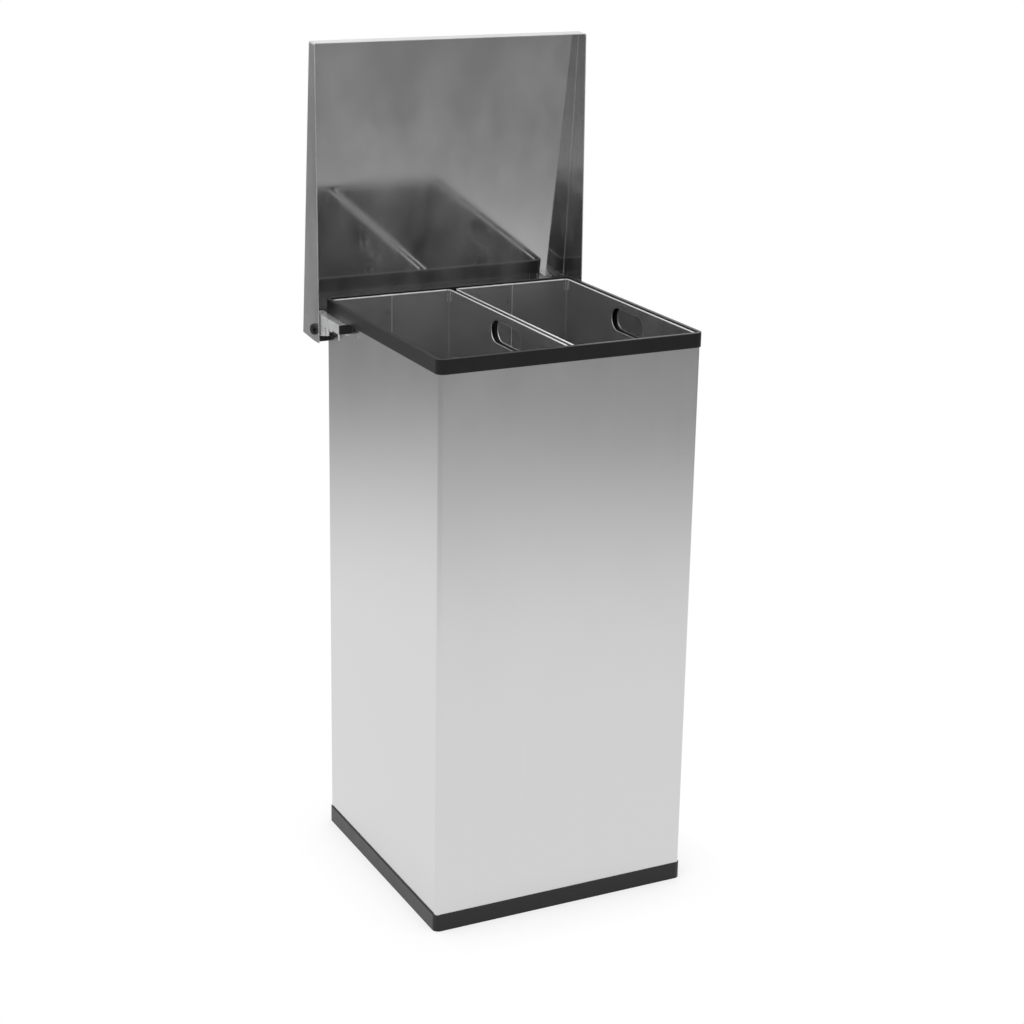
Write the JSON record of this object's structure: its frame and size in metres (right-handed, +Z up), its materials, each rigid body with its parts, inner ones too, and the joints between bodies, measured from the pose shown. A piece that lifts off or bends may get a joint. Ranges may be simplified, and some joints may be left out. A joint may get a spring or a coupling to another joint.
{
  "type": "double recycling bin",
  "caption": "Square tall sheet-metal recycling bin with side-by-side lift-out buckets and one hinged lid over both, black edge strips at rim and base.",
  "frame": {"origin": "on the floor, under the middle of the bounding box of the whole bin with its lid open as stored", "axes": "+X to the right as seen from the front, +Y to the rear, +Z up"},
  "size_m": [0.4746, 0.4808, 1.286],
  "materials": {
    "casing_steel": "stainless sheet, vertical brushed grain",
    "lid_steel": "stainless sheet, brushed, half glossy",
    "bucket_steel": "stainless sheet, fine brushed",
    "tray_steel": "galvanised sheet",
    "strip_plastic": "black moulded edge strip, satin",
    "block_plastic": "black moulded plug",
    "bracket_zinc": "bright zinc plate",
    "rivet_aluminium": "plain aluminium",
    "bolt_black": "black coated",
    "nut_zinc": "zinc plate",
    "bush_plastic": "dark acetal",
    "washer_plastic": "pale nylon",
    "stop_rubber": "black rubber"
  },
  "bodies": {
    "casing": {"casing_wrap": "casing_steel", "rear_panel": "casing_steel", "rear_rivets": "rivet_aluminium", "base_strip": "strip_plastic", "rim_strip": "strip_plastic", "base_tray": "tray_steel", "tray_rail": "tray_steel", "hinge_bracket_left": "bracket_zinc", "hinge_bracket_right": "bracket_zinc", "bracket_block_left": "block_plastic", "bracket_block_right": "block_plastic", "bracket_rivets": "rivet_aluminium", "pivot_bolts": "bolt_black", "pivot_nuts": "nut_zinc", "friction_washers": "washer_plastic"},
    "lid": {"lid_pan": "lid_steel", "lid_stop_strip": "stop_rubber", "pivot_bushes": "bush_plastic"},
    "left_bucket": {"left_bucket_left_half": "bucket_steel", "left_bucket_right_half": "bucket_steel", "left_bucket_floor": "bucket_steel"},
    "right_bucket": {"right_bucket_left_half": "bucket_steel", "right_bucket_right_half": "bucket_steel", "right_bucket_floor": "bucket_steel"}
  },
  "joints": [
    {"name": "lid_hinge", "type": "hinge", "parent": "casing", "child": "lid", "pos_m": [0, 0.18822, 0.843], "axis": [1, 0, 0], "range_deg": [0, 85.29]},
    {"name": "left_bucket_lift", "type": "slide", "parent": "casing", "child": "left_bucket", "axis": [0, 0, 1], "range_m": [0, 0.9]},
    {"name": "right_bucket_lift", "type": "slide", "parent": "casing", "child": "right_bucket", "axis": [0, 0, 1], "range_m": [0, 0.9]}
  ]
}
